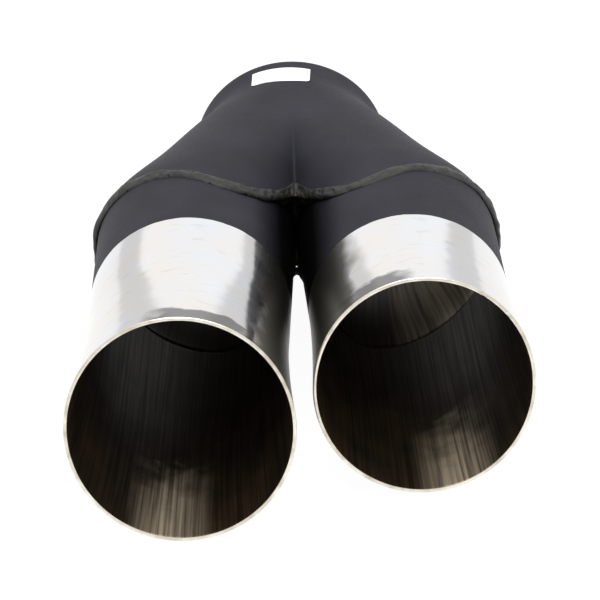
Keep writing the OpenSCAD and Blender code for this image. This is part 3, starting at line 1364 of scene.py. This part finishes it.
@dataclass
class Label:
    """The bare paper label on the socket's top, stuck on a little askew."""

    form: BodyForm
    middle: tuple[float, float] = (-3.6, -12.6)
    width: float = 23.0
    depth: float = 12.6
    askew: float = -3.0
    thick: float = 0.12
    lift: float = 0.12
    bridge: float = 4.5
    bridge_steps: int = 7
    curl: float = 0.35

    def points(self) -> np.ndarray:
        """Rings of a thin closed sheet over the top.

        Each column goes over the upper face and back under it, and the front corners curl a little.
        The paper follows the mean height of the steel before and behind it, as the pressed crease does.

        Returns:
            Array of rings by points by 3.
        """
        u, v = np.meshgrid(np.linspace(-1, 1, 61), np.linspace(-1, 1, 33), indexing="ij")
        turn = math.radians(self.askew)
        dx, dy = u * self.width / 2, v * self.depth / 2
        x = self.middle[0] + dx * math.cos(turn) - dy * math.sin(turn)
        y = self.middle[1] + dx * math.sin(turn) + dy * math.cos(turn)
        curl = self.curl * np.clip(np.abs(u) - 0.9, 0, 1) / 0.1 * np.clip(-v - 0.7, 0, 1) / 0.3
        shifts = np.linspace(-self.bridge, self.bridge, self.bridge_steps)
        base = np.mean([self.form.top(x, y + shift) for shift in shifts], 0) + self.lift + curl
        upper = np.stack([x, y, base + self.thick], -1)
        under = np.stack([x, y, base], -1)
        return np.concatenate([upper, under[:, ::-1]], 1)

    def build(self, paper: Finish) -> None:
        """Makes the label: a thin sheet closed round its front and back edges, and open at its two
        sides.
        """
        label = grid_mesh("paper_label", self.points(), close_rows=False)
        dress(label, Slot.PAINT, [paper])


@dataclass(frozen=True)
class Studio:
    """The camera where the photograph was taken from, a pale floor and soft light.

    The eye is in millimetres. The floor, the lamps and where they aim are in metres.
    """

    eye: tuple[float, float, float] = (-30.8, -2345.3, 1120.0)
    right: tuple[float, float, float] = (0.99954466, -0.02361917, -0.01877809)
    ahead: tuple[float, float, float] = (0.01258448, 0.89192616, -0.45200592)
    focal_px: float = 6500.0
    sensor: float = 36.0
    floor_half: float = 6.0
    world_light: float = 0.86
    aim: tuple[float, float, float] = (0.0, -0.1, 0.0)
    # Each lamp's name, place, width and depth, and watts.
    lamps: tuple[tuple, ...] = (
        ("back_softbox", (0.0, 1.5, 1.15), (2.6, 1.5), 5.0),
        ("overhead_softbox", (0.0, -0.1, 1.8), (1.4, 1.4), 20.0),
        ("mouth_softbox", (-0.1, -1.1, 1.45), (0.5, 0.4), 4.0),
    )

    def camera(self) -> None:
        """Sets the camera: its axes are right, up and back, and its lens gives the photo's scale."""
        right, ahead = Vector(self.right).normalized(), Vector(self.ahead).normalized()
        up = right.cross(ahead)
        data = bpy.data.cameras.new("camera")
        data.sensor_width = self.sensor
        data.lens = self.focal_px / PHOTO_SIDE * self.sensor
        data.clip_start, data.clip_end = 0.05, 50.0
        made = bpy.data.objects.new("camera", data)
        turn = Matrix((right, up, -ahead)).transposed().to_4x4()
        made.matrix_world = Matrix.Translation(Vector(self.eye) * METRE) @ turn
        bpy.context.scene.collection.objects.link(made)
        bpy.context.scene.camera = made

    def floor(self, height: float) -> None:
        """Lays the floor.

        Args:
            height: its height in metres.
        """
        signs = ((-1, -1), (1, -1), (1, 1), (-1, 1))
        corners = [(x * self.floor_half, y * self.floor_half, height) for x, y in signs]
        mesh = bpy.data.meshes.new("floor")
        mesh.from_pydata(corners, [], [(0, 1, 2, 3)])
        mesh.materials.append(PlainFloor().build())
        made = bpy.data.objects.new("floor", mesh)
        bpy.context.scene.collection.objects.link(made)
        made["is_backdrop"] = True

    def lamp(self, name: str, place: tuple, size: tuple, power: float) -> None:
        """Hangs a soft rectangular lamp that faces the pipe.

        Args:
            name: its name.
            place: its middle, in metres.
            size: its width and depth, in metres.
            power: its power, in watts.
        """
        data = bpy.data.lights.new(name, "AREA")
        data.shape = "RECTANGLE"
        data.size, data.size_y = size
        data.energy = power
        made = bpy.data.objects.new(name, data)
        turn = (Vector(self.aim) - Vector(place)).to_track_quat("-Z", "Y")
        made.matrix_world = Matrix.Translation(Vector(place)) @ turn.to_matrix().to_4x4()
        bpy.context.scene.collection.objects.link(made)

    def light(self) -> None:
        """Sets the pale surroundings and the lamps."""
        world = bpy.data.worlds.new("pale_studio")
        world.use_nodes = True
        background = world.node_tree.nodes["Background"]
        background.inputs[0].default_value = (1.0, 1.0, 1.0, 1.0)
        background.inputs[1].default_value = self.world_light
        bpy.context.scene.world = world
        for lamp in self.lamps:
            self.lamp(*lamp)
        bpy.context.scene.view_settings.view_transform = "Standard"

    def build(self, height: float) -> None:
        """Makes the camera, the floor and the light.

        Args:
            height: the floor's height in metres.
        """
        self.camera()
        self.floor(height)
        self.light()


def main() -> None:
    """Builds the pipe's pieces in order and lays the floor under the lowest point of the model before
    and after.
    """
    logging.basicConfig(level=logging.INFO, format="%(name)s: %(message)s", stream=sys.stdout)
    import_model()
    cad_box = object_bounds()
    sizes = PipeSizes()
    form = BodyForm(sizes)
    # This paint has painted shade deep in the crotch, for the tubes and the crotch lip; the body's
    # outside takes a copy without it.
    paint = HeatPaint(sizes)
    edge = CutRim().build()
    Body(form).build([HeatPaint(sizes, crevice_shaded=False).build(), BodyInside().build()], paint.build())
    left = TubeSkin(
        Side.LEFT, sizes, sizes.left_l, paint_l=36.0, reflection_band=(-10.0, 26.0), flank_from=28.0, paint=paint
    )
    right = TubeSkin(
        Side.RIGHT, sizes, sizes.right_l, paint_l=38.4, reflection_band=(6.0, 30.0), flank_from=24.0, paint=paint
    )
    left_tube = OutletTube(left.side, sizes, left.length, sizes.left_bell, "outlet_left")
    right_tube = OutletTube(
        right.side, sizes, right.length, sizes.right_bell, "outlet_right", nicks=(55.0, 38.0)
    )
    left_inside, right_inside = TubeInside(left, lit_floor_x=-5.0), TubeInside(right, lit_floor_x=12.0)
    for tube, skin, inside in ((left_tube, left, left_inside), (right_tube, right, right_inside)):
        tube.build(skin.build(), edge, inside.build())
    WeldBead(form).build(PaintedWeld().build())
    Label(form).build(LabelPaper().build())
    Studio().build(min(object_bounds()[0][2], cad_box[0][2]))


if __name__ == "__main__":
    main()
